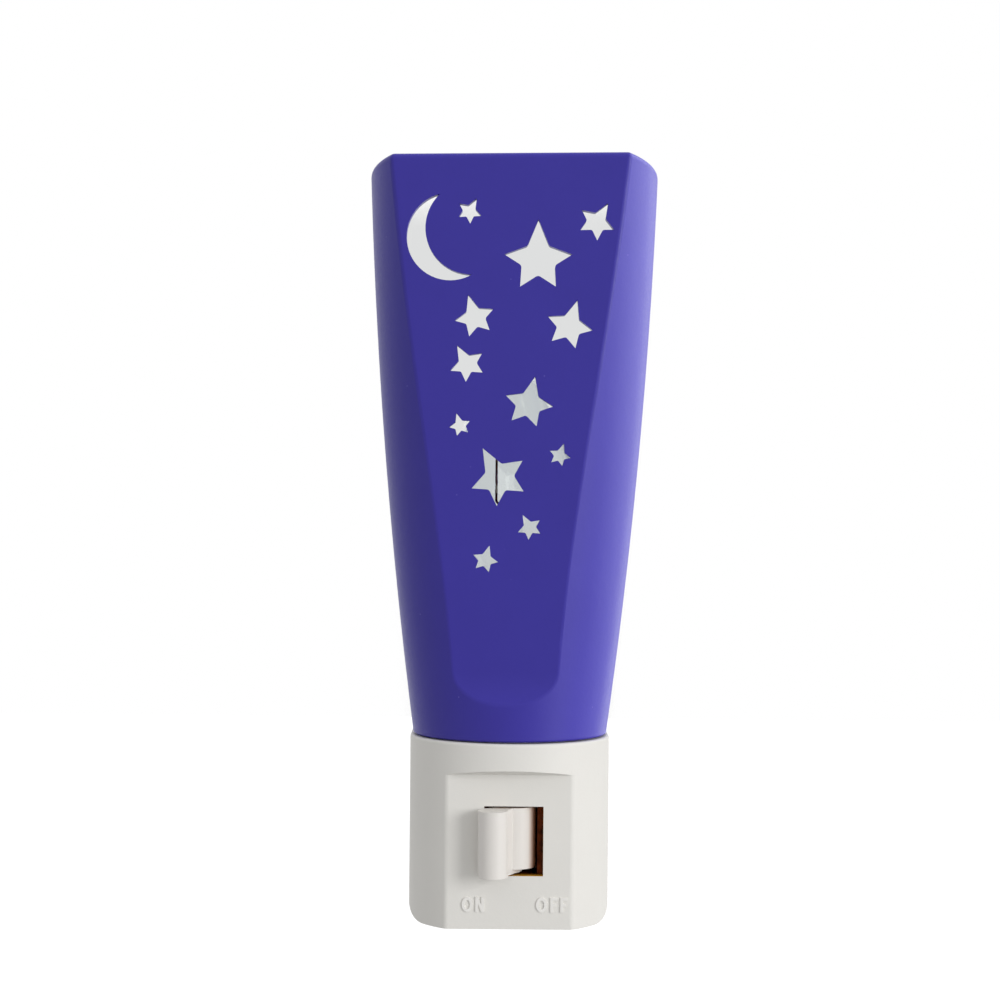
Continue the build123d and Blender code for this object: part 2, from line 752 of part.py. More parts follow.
def make_switch_lever():
    """Knob to the front, drum in the middle and the contact arm to the back."""
    low = lever_z - lever_height / 2
    body = extrude(Pos(0, 0, low) * knob_outline(), lever_height)
    body += extrude(Pos(0, 0, low + drum_end_step) * Circle(drum_radius), lever_height - drum_end_step)
    arm = Pos(0, arm_reach / 2, lever_z) * Box(arm_thickness, arm_reach, arm_height)
    pivot = Pos(0, 0, lever_z) * Cylinder(pivot_radius, lever_height + 2 * (lever_end_gap + pivot_length))
    return pivot_place() * (body + arm + pivot)


def pivot_place():
    """The lever's own place, turned to ON."""
    return switch * Pos(0, -pivot_depth, 0) * Rot(0, 0, -lever_swing / 2)


def make_bridge_contact():
    plate = Box(bridge_thickness, bridge_length, arm_height)
    across = (arm_thickness + bridge_thickness) / 2
    return pivot_place() * Pos(across, arm_reach - bridge_length / 2, lever_z) * plate


def shade_section(z, half, bulge, thickness, back):
    return Pos(0, 0, z) * d_face(half - thickness, back, side_depth, bulge - thickness)


def shade_block(thickness, back):
    """The flaring body of the shade, drawn in by the given thickness."""
    sizes = [(shade_foot, foot_half, foot_bulge),
             (base_top + shade_height / 2, shade_mid_half_width, shade_mid_bulge),
             (shade_top, shade_top_half_width, shade_top_bulge)]
    body = loft([shade_section(z, half, bulge, thickness, back) for z, half, bulge in sizes])
    return body - facet_cut(thickness)


def facet_cut(thickness):
    """All that lies ahead of the flat facet, which runs out forward in an arc at its foot."""
    face = facet_depth - thickness
    foot = base_top + facet_foot_height
    radius = facet_foot_radius + thickness
    start, middle, end = [
        (-face - radius * (1 - cos(turn)), foot - radius * sin(turn))
        for turn in (0, radians(facet_foot_sweep / 2), radians(facet_foot_sweep))]
    high = shade_top + over
    line = [Line((-face, high), start),
            ThreePointArc(start, middle, end),
            Polyline(end, (-through, end[1]), (-through, high), (-face, high))]
    profile = Plane.YZ * make_face([edge for part in line for edge in part.edges()])
    return Rot(0, 0, facet_turn) * extrude(profile, through / 2, both=True)


def rim_height(y):
    return shade_top - tan(radians(rim_slope)) * (y + front_depth)


def rim_cut():
    """All that lies above the rim of the shade, which falls towards the wall."""
    near, far = over, -front_depth - over
    side = Polyline((far, rim_height(far)), (near, rim_height(near)), (near, shade_top + over),
                    (far, shade_top + over), close=True)
    return extrude(Plane.YZ * make_face(side), through, both=True)


def star_face(peak, turn):
    """A five-pointed star, taller towards its peak, with rounded inner corners."""
    corners = star_half + [(-angle, reach) for angle, reach in reversed(star_half[1:-1])]
    points = [(peak * reach * cos(radians(turn + angle)), peak * reach * sin(radians(turn + angle)))
              for angle, reach in corners]
    face = make_face(Polyline(*points, close=True))
    inner = [v for v in face.vertices() if Vector(v.X, v.Y).length < star_inner * peak]
    return fillet(inner, peak * star_corner)


def moon_face():
    half = moon_chord / 2
    outer = ThreePointArc((0, half), (-moon_outer_bulge, 0), (0, -half))
    inner = ThreePointArc((0, -half), (-moon_inner_bulge, 0), (0, half))
    return Rot(0, 0, moon_lean) * make_face([outer, inner])


def cut_outs():
    """The moon and the stars, run right through the front of the shade."""
    plane = Plane((0, -side_depth, base_top), x_dir=(1, 0, 0), z_dir=(0, -1, 0))
    faces = [Pos(moon_x, moon_height) * moon_face()]
    faces += [Pos(x, height) * star_face(radius, turn) for x, height, radius, turn in stars]
    return [extrude(plane * face, through) for face in faces]


def make_shade():
    shell = shade_block(0, shade_wall_gap) - rim_cut()
    outer = shell.edges().filter_by(lambda e: e.center().Y < -shade_wall_gap - same)
    top = outer.filter_by(lambda e: abs(e.center().Z - rim_height(e.center().Y)) < same)
    creases = outer.filter_by(lambda e: abs(e.center().rotate(Axis.Z, -facet_turn).Y + facet_depth) < same
                              and abs(e.center().X) > over and e.center().Z < shade_top - over)
    shell = fillet(top + creases, shade_edge_round)
    foot = shell.edges().filter_by(lambda e: abs(e.center().Z - shade_foot) < same
                                   and e.center().Y < -shade_wall_gap - same)
    shell = fillet(foot, shade_foot_round)
    shell -= shade_block(shade_wall, -shade_wall_gap)
    for side in (-1, 1):
        shell += block(side * (step_half - shade_hook), side * (foot_half - shade_wall / 2),
                       shade_wall_gap, step_back - shade_fit, base_top, step_top)
    return shell - cut_outs()


makers = {
    "front_housing": make_front_housing,
    "rear_housing": make_rear_housing,
    "cover_screws": make_cover_screws,
    "line_blade": make_line_blade,
    "neutral_blade": make_neutral_blade,
    "neutral_strap": make_neutral_strap,
    "blade_clamp": make_blade_clamp,
    "contact_studs": make_contact_studs,
    "lamp_lead": make_lamp_lead,
    "bridge_contact": make_bridge_contact,
    "switch_lever": make_switch_lever,
    "switch_plate": make_switch_plate,
    "socket_disc": make_socket_disc,
    "centre_contact": make_centre_contact,
    "contact_rivet": make_contact_rivet,
    "screw_shell": make_screw_shell,
    "bulb_cap": make_bulb_cap,
    "bulb_insulator": make_bulb_insulator,
    "bulb_tip": make_bulb_tip,
    "bulb_glass": make_bulb_glass,
    "glass_stem": make_glass_stem,
    "lead_wires": make_lead_wires,
    "filament": make_filament,
    "shade": make_shade,
}

for name, make in makers.items():
    export_step(make(), f"parts/{name}.step")
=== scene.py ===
# %% [markdown]
# # A plug-in night light
#
# The light is a violet shade with a moon and stars cut through its flat front, over a small clear
# screw bulb, on an off-white base with a swing switch and two plug blades. The CAD model already
# holds every shape at its true size, so this lesson dresses it: it gives each piece the finish of its
# real material, winds the filament, and sets up the camera, the ground and the lamps.

# %% Load the frame
import math

import bmesh
import bpy
from mathutils import Matrix, Vector


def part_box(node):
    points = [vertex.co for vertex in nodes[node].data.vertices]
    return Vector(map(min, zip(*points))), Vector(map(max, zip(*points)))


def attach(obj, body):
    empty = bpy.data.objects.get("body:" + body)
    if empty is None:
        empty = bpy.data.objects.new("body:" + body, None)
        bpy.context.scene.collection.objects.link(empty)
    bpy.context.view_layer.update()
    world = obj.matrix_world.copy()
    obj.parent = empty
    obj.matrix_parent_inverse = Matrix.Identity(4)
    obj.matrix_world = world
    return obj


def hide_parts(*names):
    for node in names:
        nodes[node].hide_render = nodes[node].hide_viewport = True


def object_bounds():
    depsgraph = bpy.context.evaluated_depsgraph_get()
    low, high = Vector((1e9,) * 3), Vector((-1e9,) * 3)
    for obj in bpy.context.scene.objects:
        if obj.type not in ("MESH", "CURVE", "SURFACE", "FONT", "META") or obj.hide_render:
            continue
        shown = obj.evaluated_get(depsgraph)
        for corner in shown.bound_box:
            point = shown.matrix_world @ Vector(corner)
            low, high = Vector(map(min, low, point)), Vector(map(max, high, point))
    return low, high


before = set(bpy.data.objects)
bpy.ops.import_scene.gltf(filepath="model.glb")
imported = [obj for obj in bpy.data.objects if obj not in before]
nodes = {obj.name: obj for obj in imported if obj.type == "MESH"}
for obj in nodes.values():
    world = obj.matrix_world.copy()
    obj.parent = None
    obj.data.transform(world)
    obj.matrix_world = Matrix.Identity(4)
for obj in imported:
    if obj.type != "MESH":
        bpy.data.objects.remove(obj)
cad_low, cad_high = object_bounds()
MM = 0.001
print("CAD nodes:", len(nodes), "size in mm:", [round(v / MM, 1) for v in cad_high - cad_low])

# %% [markdown]
# ## Camera
#
# The photograph was taken level and close, from straight ahead, with the light leaning a little to
# the right. A camera 318 mm in front of the wall, half way up the shade, gives the same perspective:
# the front of the shade comes out larger than its back edges by as much as the picture shows.

# %% Camera at the photograph's place
CAMERA_PLACE = Vector((-1.9, -318.0, 52.55)) * MM
CAMERA_LENS = 66.5
CAMERA_SENSOR = 36.0
CAMERA_ROLL = math.radians(0.5)
CAMERA_NEAR = 10.0 * MM

camera_data = bpy.data.cameras.new("photo_camera")
camera_data.lens = CAMERA_LENS
camera_data.sensor_width = CAMERA_SENSOR
camera_data.clip_start = CAMERA_NEAR
camera = bpy.data.objects.new("photo_camera", camera_data)
bpy.context.scene.collection.objects.link(camera)
level = Matrix.Rotation(math.radians(90), 4, "X")
camera.matrix_world = Matrix.Translation(CAMERA_PLACE) @ level @ Matrix.Rotation(CAMERA_ROLL, 4, "Z")
bpy.context.scene.camera = camera
bpy.context.scene.view_settings.view_transform = "Standard"
print("camera stands", round(-CAMERA_PLACE.y / MM), "mm from the wall")

# %% [markdown]
# ## Nodes and colours
#
# Every finish below is a small tree of nodes. Colours are written the way a picture editor shows
# them, as sRGB hex, and turned to the linear values that the renderer adds up. Pattern sizes are
# written in millimetres: a noise texture repeats about once per unit divided by its scale.

# %% Helpers for finishes
def linear(hex_colour):
    """sRGB hex to a linear colour with alpha."""
    parts = [int(hex_colour[i:i + 2], 16) / 255 for i in (1, 3, 5)]
    return [p / 12.92 if p <= 0.04045 else ((p + 0.055) / 1.055) ** 2.4 for p in parts] + [1.0]


def per_mm(size_mm):
    """Texture scale that makes one feature about this many millimetres across."""
    return 1.0 / (size_mm * MM)


def add(tree, kind, settings=None, sockets=None):
    """Add a node. Settings are its own options; a socket takes a value or another node's output."""
    node = tree.nodes.new(kind)
    for name, value in (settings or {}).items():
        setattr(node, name, value)
    for name, value in (sockets or {}).items():
        if isinstance(value, bpy.types.NodeSocket):
            tree.links.new(value, node.inputs[name])
        else:
            node.inputs[name].default_value = value
    return node


# %% Helpers for materials and pieces
def new_finish(name):
    """A named material with an empty tree, and the Object coordinates that its patterns follow."""
    finish = bpy.data.materials.new(name)
    finish.use_nodes = True
    tree = finish.node_tree
    tree.nodes.clear()
    place = add(tree, "ShaderNodeTexCoord").outputs["Object"]
    return finish, tree, place


def close_finish(tree, shader):
    """Link the last shader to the material's output."""
    add(tree, "ShaderNodeOutputMaterial", None, {"Surface": shader.outputs[0]})


def dress(finish, *names):
    """Give CAD nodes a finish in place of the plain colour they came with."""
    for name in names:
        mesh = nodes[name].data
        mesh.materials.clear()
        mesh.materials.append(finish)
    print(finish.name, "on", ", ".join(names))


def finished(name, shape, finish):
    """Turn a bmesh into an object at the origin that wears one finish."""
    mesh = bpy.data.meshes.new(name)
    shape.to_mesh(mesh)
    shape.free()
    mesh.materials.append(finish)
    thing = bpy.data.objects.new(name, mesh)
    bpy.context.scene.collection.objects.link(thing)
    return thing


# %% [markdown]
# ## Moulded plastic
#
# The plastics are ABS, coloured through and moulded with a fine spark-eroded texture from the tool:
# close up, the surface breaks a highlight into a soft satin sheen. Three layers give that: clouds of
# colour some millimetres wide, where the pigment mixed unevenly, a grain that tilts the surface, and
# a roughness that wanders. Handling leaves small nicks, drawn here as the cells of a Voronoi pattern
# whose middles happen to lie close to the surface.

# %% Moulded plastic
CLOUD_MM = 11.0
NICK_CELL_MM = 4.0
NICK_CORE = 0.4      # share of a nick's radius that has its full colour
SATIN_SPREAD = 0.07  # how far the roughness wanders either way


def moulded_plastic(name, body, cloud, nick, grain_mm, relief_mm, roughness, sheen, nick_radius_mm):
    """Plastic with clouded colour, a fine grain and a few nicks."""
    finish, tree, place = new_finish(name)
    clouds = add(tree, "ShaderNodeTexNoise", None,
                 {"Vector": place, "Scale": per_mm(CLOUD_MM), "Detail": 4.0, "Roughness": 0.6})
    pigment = add(tree, "ShaderNodeMix", {"data_type": "RGBA"},
                  {0: clouds.outputs["Fac"], 6: linear(body), 7: linear(cloud)})
    cells = add(tree, "ShaderNodeTexVoronoi", None, {"Vector": place, "Scale": per_mm(NICK_CELL_MM)})
    nicks = add(tree, "ShaderNodeMapRange", None,
                {"Value": cells.outputs["Distance"], "From Min": nick_radius_mm / NICK_CELL_MM,
                 "From Max": NICK_CORE * nick_radius_mm / NICK_CELL_MM})
    colour = add(tree, "ShaderNodeMix", {"data_type": "RGBA"},
                 {0: nicks.outputs[0], 6: pigment.outputs[2], 7: linear(nick)})
    grain = add(tree, "ShaderNodeTexNoise", None,
                {"Vector": place, "Scale": per_mm(grain_mm), "Detail": 2.0})
    satin = add(tree, "ShaderNodeMapRange", None,
                {"Value": grain.outputs["Fac"], "To Min": roughness - SATIN_SPREAD,
                 "To Max": roughness + SATIN_SPREAD})
    relief = add(tree, "ShaderNodeBump", None,
                 {"Height": grain.outputs["Fac"], "Distance": relief_mm * MM, "Strength": 1.0})
    shader = add(tree, "ShaderNodeBsdfPrincipled", None,
                 {"Base Color": colour.outputs[2], "Roughness": satin.outputs[0],
                  "Normal": relief.outputs[0], "IOR": 1.5, "Specular IOR Level": sheen})
    close_finish(tree, shader)
    return finish


# %% The three plastics
# Eroded tool, deep pigment: a dark, even colour under a broad, soft highlight.
violet_abs = moulded_plastic("violet_abs_satin", "#322A90", "#362E98", "#5E57B0", grain_mm=0.5,
                             relief_mm=0.012, roughness=0.40, sheen=0.28, nick_radius_mm=0.13)
# Coarser tool, little gloss: shapes show by their shading, with hardly a highlight.
white_abs = moulded_plastic("off_white_abs_matt", "#E5E3DE", "#E9E7E2", "#C4C0B7", grain_mm=0.4,
                            relief_mm=0.010, roughness=0.55, sheen=0.4, nick_radius_mm=0.10)
# Smoother tool, a warmer white: the knob stands out a little from the panel behind it.
lever_abs = moulded_plastic("warm_white_abs_smooth", "#E2DED9", "#E6E2DD", "#D2CBC1", grain_mm=0.6,
                            relief_mm=0.006, roughness=0.42, sheen=0.5, nick_radius_mm=0.08)
dress(violet_abs, "shade")
dress(white_abs, "front_housing", "rear_housing")
dress(lever_abs, "switch_lever")

# %% [markdown]
# ## Letters
#
# ON and OFF stand a fifth of a millimetre proud of the panel. They are painted a little lighter
# than the matt plastic round them: a painted highlight for the light that their edges catch. They are the
# only plastic that lies ahead of the panel and under its ledge, so a box in Object coordinates finds them,
# and no mask has to be drawn. The box goes into the finish of the housing, ahead of its surface.

# %% Letters
def inside_box(tree, low, high):
    """1 for points of a piece inside the box between two corners, and 0 outside it."""
    place = add(tree, "ShaderNodeTexCoord").outputs["Object"]
    axes = add(tree, "ShaderNodeSeparateXYZ", None, {0: place})
    mask = 1.0
    for axis, start, end in zip("XYZ", low, high):
        for operation, limit in (("GREATER_THAN", start), ("LESS_THAN", end)):
            side = add(tree, "ShaderNodeMath", {"operation": operation}, {0: axes.outputs[axis], 1: limit})
            mask = add(tree, "ShaderNodeMath", {"operation": "MULTIPLY"},
                       {0: mask, 1: side.outputs[0]}).outputs[0]
    return mask


def surface_of(finish):
    """The tree of a finish, its surface shader, and the colour that feeds it."""
    tree = finish.node_tree
    surface = next(node for node in tree.nodes if node.type == "BSDF_PRINCIPLED")
    return tree, surface, surface.inputs["Base Color"].links[0].from_socket


FAR = 1.0  # a limit that no piece reaches, in metres
PANEL_FACE = -28.9 * MM
LETTERS_AHEAD = 0.03 * MM
LETTERS_BELOW = -6.0 * MM
tree, surface, matt_colour = surface_of(white_abs)
letter_highlight_mask = inside_box(tree, (-FAR, -FAR, -FAR), (FAR, PANEL_FACE - LETTERS_AHEAD, LETTERS_BELOW))
# painted highlight: the raised letters get a lighter colour than the panel round them
letter_highlight = add(tree, "ShaderNodeMix", {"data_type": "RGBA"},
               {0: letter_highlight_mask, 6: matt_colour, 7: linear("#EFEDE9")})
tree.links.new(letter_highlight.outputs[2], surface.inputs["Base Color"])
print("panel face", round(-PANEL_FACE / MM, 1), "mm from the wall")

# %% [markdown]
# ## Painted shade in the switch window
#
# The walls of the switch window are painted with shade, orange at the window's edge and dark brown
# deeper inside, where light hardly reaches. The walls are found by their place, in a box behind the
# panel, and the painted shade darkens with depth. Their sheen goes as well, so that the painted shade
# stays dark. The right flank of the drum, which faces that wall, is painted with the same warm shade
# towards its edge.

# %% Painted shade in the switch window
WINDOW_MIDDLE = Vector((0.7, 0.0, -0.85)) * MM
WINDOW_HALF = Vector((4.8, 0.0, 7.4)) * MM
RECESS_SHADE_START, RECESS_SHADE_DARK, RECESS_SHADE_END = 0.1 * MM, 2.2 * MM, 6.5 * MM  # behind the panel's face
tree, surface, letter_lit_colour = surface_of(white_abs)
window_low = WINDOW_MIDDLE - WINDOW_HALF + Vector((0.0, PANEL_FACE + RECESS_SHADE_START, 0.0))
window_high = WINDOW_MIDDLE + WINDOW_HALF + Vector((0.0, PANEL_FACE + RECESS_SHADE_END, 0.0))
in_window = inside_box(tree, window_low, window_high)
place = add(tree, "ShaderNodeTexCoord").outputs["Object"]
axes = add(tree, "ShaderNodeSeparateXYZ", None, {0: place})
depth = add(tree, "ShaderNodeMapRange", None,
            {"Value": axes.outputs["Y"], "From Min": PANEL_FACE + RECESS_SHADE_START,
             "From Max": PANEL_FACE + RECESS_SHADE_DARK})
# painted shade: orange at the window's edge, dark brown deeper in the recess
painted_shade = add(tree, "ShaderNodeMix", {"data_type": "RGBA"},
            {0: depth.outputs[0], 6: linear("#D8A032"), 7: linear("#4A2008")})
window_painted_shade = add(tree, "ShaderNodeMix", {"data_type": "RGBA"},
              {0: in_window, 6: letter_lit_colour, 7: painted_shade.outputs[2]})
tree.links.new(window_painted_shade.outputs[2], surface.inputs["Base Color"])
# no sheen where the shade is painted, so that the painted shade stays dark
sheen = surface.inputs["Specular IOR Level"].default_value
dulled = add(tree, "ShaderNodeMapRange", None, {"Value": in_window, "To Min": sheen, "To Max": 0.0})
tree.links.new(dulled.outputs[0], surface.inputs["Specular IOR Level"])
print("stain reaches", round(RECESS_SHADE_END / MM, 1), "mm behind the panel")

# %% Painted shade on the drum's right flank
DRUM_SHADE_START, DRUM_SHADE_FULL = 3.0 * MM, 4.2 * MM  # right of the middle of the base
tree, surface, smooth_colour = surface_of(lever_abs)
place = add(tree, "ShaderNodeTexCoord").outputs["Object"]
axes = add(tree, "ShaderNodeSeparateXYZ", None, {0: place})
# painted shade: warm brown towards the flank's edge, beside the dark window wall
flank = add(tree, "ShaderNodeMapRange", None,
            {"Value": axes.outputs["X"], "From Min": DRUM_SHADE_START, "From Max": DRUM_SHADE_FULL})
drum_painted_shade = add(tree, "ShaderNodeMix", {"data_type": "RGBA"},
             {0: flank.outputs[0], 6: smooth_colour, 7: linear("#A8662A")})
tree.links.new(drum_painted_shade.outputs[2], surface.inputs["Base Color"])
print("drum warms over", round((DRUM_SHADE_FULL - DRUM_SHADE_START) / MM, 1), "mm")

# %% [markdown]
# ## Metal
#
# The blades and contacts are stamped from rolled brass, and the fine lines on the blades follow the
# rolling direction. The plated screws and the solder are greyer and duller. One noise, drawn out along
# an axis by its Mapping node, makes the lines, and the same noise wanders the roughness. A second,
# coarser one clouds the colour, as handled metal tarnishes.

# %% Metal
TARNISH_MM = 4.0
LINE_SPREAD = 0.1  # how far the roughness wanders either way


def drawn_metal(name, light, dark, line_mm, stretch, roughness, relief_mm):
    """Metal with fine lines along its stretch and a tarnish that clouds its colour."""
    finish, tree, place = new_finish(name)
    drawn = add(tree, "ShaderNodeMapping", None, {"Vector": place, "Scale": stretch})
    lines = add(tree, "ShaderNodeTexNoise", None,
                {"Vector": drawn.outputs[0], "Scale": per_mm(line_mm), "Detail": 3.0})
    tarnish = add(tree, "ShaderNodeTexNoise", None,
                  {"Vector": place, "Scale": per_mm(TARNISH_MM), "Detail": 4.0, "Roughness": 0.65})
    colour = add(tree, "ShaderNodeMix", {"data_type": "RGBA"},
                 {0: tarnish.outputs["Fac"], 6: linear(light), 7: linear(dark)})
    gloss = add(tree, "ShaderNodeMapRange", None,
                {"Value": lines.outputs["Fac"], "To Min": roughness - LINE_SPREAD,
                 "To Max": roughness + LINE_SPREAD})
    relief = add(tree, "ShaderNodeBump", None,
                 {"Height": lines.outputs["Fac"], "Distance": relief_mm * MM, "Strength": 1.0})
    shader = add(tree, "ShaderNodeBsdfPrincipled", None,
                 {"Base Color": colour.outputs[2], "Metallic": 1.0, "Roughness": gloss.outputs[0],
                  "Normal": relief.outputs[0]})
    close_finish(tree, shader)
    return finish


# %% Brass pieces
ALONG_BLADE = (1.0, 0.06, 1.0)
EVEN = (1.0, 1.0, 1.0)
# Stamped and tumbled: pale yellow, with lines that stretch a highlight along the blade.
blade_brass = drawn_metal("stamped_brass_blade", "#D9BE84", "#C4A263", 0.25, ALONG_BLADE,
                          roughness=0.30, relief_mm=0.004)
# Rolled sheet, a little tarnished: deeper and duller than the blades.
sheet_brass = drawn_metal("rolled_brass_sheet", "#CFA75C", "#B58A43", 0.3, EVEN,
                          roughness=0.34, relief_mm=0.004)
# Pressed thin and left bright: the threads catch sharp lines of light.
cap_brass = drawn_metal("pressed_brass_cap", "#D3AE66", "#B99352", 0.3, EVEN,
                        roughness=0.26, relief_mm=0.003)
dress(blade_brass, "line_blade", "neutral_blade")
dress(sheet_brass, "neutral_strap", "lamp_lead", "bridge_contact", "centre_contact", "contact_rivet",
      "screw_shell")
dress(cap_brass, "bulb_cap")

# %% Other metal pieces
# Silver facing on the contacts: near white, softly bright.
silver = drawn_metal("silver_contact", "#D9D7D0", "#B9B5AB", 0.2, EVEN, roughness=0.30, relief_mm=0.004)
# Zinc plating on steel: a cool grey with a dull gloss.
zinc_steel = drawn_metal("zinc_plated_steel", "#C3C4C2", "#A7A9A8", 0.25, EVEN,
                         roughness=0.36, relief_mm=0.006)
# Solder that froze in a drop: darker grey, lumpy and dull.
solder = drawn_metal("dull_solder", "#A9A9A6", "#8D8E8D", 0.6, EVEN, roughness=0.46, relief_mm=0.02)
# Copper-clad wire darkened by the sealing flame: a thin brown line through the glass.
lead_wire = drawn_metal("copper_clad_wire", "#7A4A30", "#5B3524", 0.2, EVEN,
                        roughness=0.40, relief_mm=0.003)
# Drawn tungsten: a dark grey thread.
tungsten = drawn_metal("drawn_tungsten", "#5A5A5C", "#434347", 0.15, EVEN, roughness=0.42, relief_mm=0.002)
dress(silver, "contact_studs")
dress(zinc_steel, "cover_screws")
dress(solder, "bulb_tip")
dress(lead_wire, "lead_wires")
dress(tungsten, "filament")

# %% [markdown]
# ## Filament
#
# The real filament is tungsten wire thinner than a hair, wound into a coil and hung in a shallow
# arch between the lead wires. One round section, spun about the line between the wire tops while it
# moves along, makes the coil; then every point is lifted by the arch. It keeps inside the plain wire
# that stands for it in the CAD model, so it swaps places with that piece and turns with the bulb.

# %% Filament
COIL_TURNS = 64
STEPS_PER_TURN = 10
COIL_WIRE = 0.03 * MM
WIRE_SIDES = 6
arch_low, arch_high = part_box("filament")
coil_span = arch_high.x - arch_low.x
coil_radius = (arch_high.y - arch_low.y) / 2 - COIL_WIRE
coil_depth = (arch_high.y + arch_low.y) / 2
arch_rise = arch_high.z - arch_low.z - 2 * (coil_radius + COIL_WIRE)
coil_start = Vector((arch_low.x + COIL_WIRE, coil_depth, arch_low.z + coil_radius + COIL_WIRE))

shape = bmesh.new()
section = bmesh.ops.create_circle(shape, cap_ends=False, segments=WIRE_SIDES, radius=COIL_WIRE)["verts"]
bmesh.ops.rotate(shape, verts=section, matrix=Matrix.Rotation(math.radians(90), 3, "X"))
bmesh.ops.translate(shape, verts=section, vec=coil_start + Vector((0.0, 0.0, coil_radius)))
coil_steps = COIL_TURNS * STEPS_PER_TURN
bmesh.ops.spin(shape, geom=shape.edges[:], cent=coil_start, axis=(1.0, 0.0, 0.0),
               dvec=((coil_span - 2 * COIL_WIRE) / coil_steps, 0.0, 0.0),
               angle=math.radians(360 * COIL_TURNS), steps=coil_steps)
for point in shape.verts:
    along = (point.co.x - arch_low.x) / coil_span * 2 - 1
    point.co.z += arch_rise * (1 - along ** 2)
bmesh.ops.recalc_face_normals(shape, faces=shape.faces)
for face in shape.faces:
    face.smooth = True
coil = finished("coiled_filament", shape, tungsten)
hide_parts("filament")
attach(coil, "bulb")
print("filament:", COIL_TURNS, "turns,", len(coil.data.polygons), "faces")

# %% [markdown]
# ## Glass
#
# The bulb is thin clear glass, blown in a mould, so its wall is a little uneven and bends what is
# seen through it. A broad, shallow noise as bump gives that, and the same noise adds a trace of haze.

# %% Glass
HAZE_MOST = 0.03


def blown_glass(name, tint, wave_mm, relief_mm):
    """Clear glass whose surface waves a little."""
    finish, tree, place = new_finish(name)
    waves = add(tree, "ShaderNodeTexNoise", None,
                {"Vector": place, "Scale": per_mm(wave_mm), "Detail": 1.0})
    relief = add(tree, "ShaderNodeBump", None,
                 {"Height": waves.outputs["Fac"], "Distance": relief_mm * MM, "Strength": 1.0})
    haze = add(tree, "ShaderNodeMapRange", None,
               {"Value": waves.outputs["Fac"], "To Min": 0.0, "To Max": HAZE_MOST})
    shader = add(tree, "ShaderNodeBsdfPrincipled", None,
                 {"Base Color": linear(tint), "Roughness": haze.outputs[0], "IOR": 1.5,
                  "Transmission Weight": 1.0, "Normal": relief.outputs[0]})
    close_finish(tree, shader)
    return finish


# Soda-lime glass, blown: clear, with bright outlines and a slightly bent view through it.
clear_glass = blown_glass("clear_blown_glass", "#F7FAFA", wave_mm=9.0, relief_mm=0.03)
dress(clear_glass, "bulb_glass", "glass_stem")

# %% [markdown]
# ## Insulators
#
# The cap's insulator is black glass, the blades are held by a brown phenolic clamp, the disc under the
# screw shell is red-brown vulcanised fibre with short fibres pressed flat, and a mottled brown board
# closes the switch from behind. All are one finish with other sizes: a noise mottles the colour, and
# its height roughens the surface.

# %% Insulators
FLECK_LOW, FLECK_HIGH = 0.38, 0.62  # the part of the noise's range that holds most of its values


def pressed_insulator(name, light, dark, fleck_mm, stretch, roughness, sheen, relief_mm):
    """A mottled, pressed or fused insulator."""
    finish, tree, place = new_finish(name)
    drawn = add(tree, "ShaderNodeMapping", None, {"Vector": place, "Scale": stretch})
    flecks = add(tree, "ShaderNodeTexNoise", None,
                 {"Vector": drawn.outputs[0], "Scale": per_mm(fleck_mm), "Detail": 5.0, "Roughness": 0.7})
    mottle = add(tree, "ShaderNodeMapRange", None,
                 {"Value": flecks.outputs["Fac"], "From Min": FLECK_LOW, "From Max": FLECK_HIGH})
    colour = add(tree, "ShaderNodeMix", {"data_type": "RGBA"},
                 {0: mottle.outputs[0], 6: linear(dark), 7: linear(light)})
    relief = add(tree, "ShaderNodeBump", None,
                 {"Height": flecks.outputs["Fac"], "Distance": relief_mm * MM, "Strength": 1.0})
    shader = add(tree, "ShaderNodeBsdfPrincipled", None,
                 {"Base Color": colour.outputs[2], "Roughness": roughness, "Normal": relief.outputs[0],
                  "Specular IOR Level": sheen})
    close_finish(tree, shader)
    return finish


# %% The four insulators
# Fused black glass: near black, with a sharp gloss.
black_glass = pressed_insulator("black_insulating_glass", "#1B1B1D", "#0E0E10", 1.5, EVEN,
                                roughness=0.18, sheen=0.5, relief_mm=0.005)
# Moulded phenolic: dark brown with a low gloss.
phenolic = pressed_insulator("brown_phenolic", "#4A2A1C", "#2C170F", 0.5, EVEN,
                             roughness=0.42, sheen=0.5, relief_mm=0.006)
# Vulcanised fibre: red-brown and matt, with fibres that lie flat.
fibre = pressed_insulator("vulcanised_fibre", "#8C3A2B", "#6B2519", 0.4, (1.0, 0.25, 2.0),
                          roughness=0.62, sheen=0.3, relief_mm=0.015)
# Pressed brown board behind the switch, without gloss: broad patches from brown to black, the dark ones
# painted shade for the gap beside the drum.
gap_shade_board = pressed_insulator("brown_board_painted_shade", "#7A3A1C", "#160401", 4.5, EVEN,
                                roughness=0.70, sheen=0.06, relief_mm=0.012)
dress(black_glass, "bulb_insulator")
dress(phenolic, "blade_clamp")
dress(fibre, "socket_disc")
dress(gap_shade_board, "switch_plate")

# %% [markdown]
# ## Room and floor
#
# The photograph has a white ground and soft light. A pale room lights the object from all sides. It is
# white only for rays that look at it, from the camera, off a glossy surface or through glass, so the
# white adds no light to the object. The floor, far below, is paper that is lifted towards white for
# the same rays and keeps its own shading, with the object's shadow in it.

# %% Room
LOOKING_RAYS = ("Is Camera Ray", "Is Glossy Ray", "Is Transmission Ray")
ROOM_LIGHT = 0.66
WHITE = linear("#FFFFFF")


def seen_by(tree, rays):
    """1 for rays of these kinds, and 0 for the rest."""
    path = add(tree, "ShaderNodeLightPath")
    seen = 0.0
    for ray in rays:
        seen = add(tree, "ShaderNodeMath", {"operation": "MAXIMUM"},
                   {0: seen, 1: path.outputs[ray]}).outputs[0]
    return seen


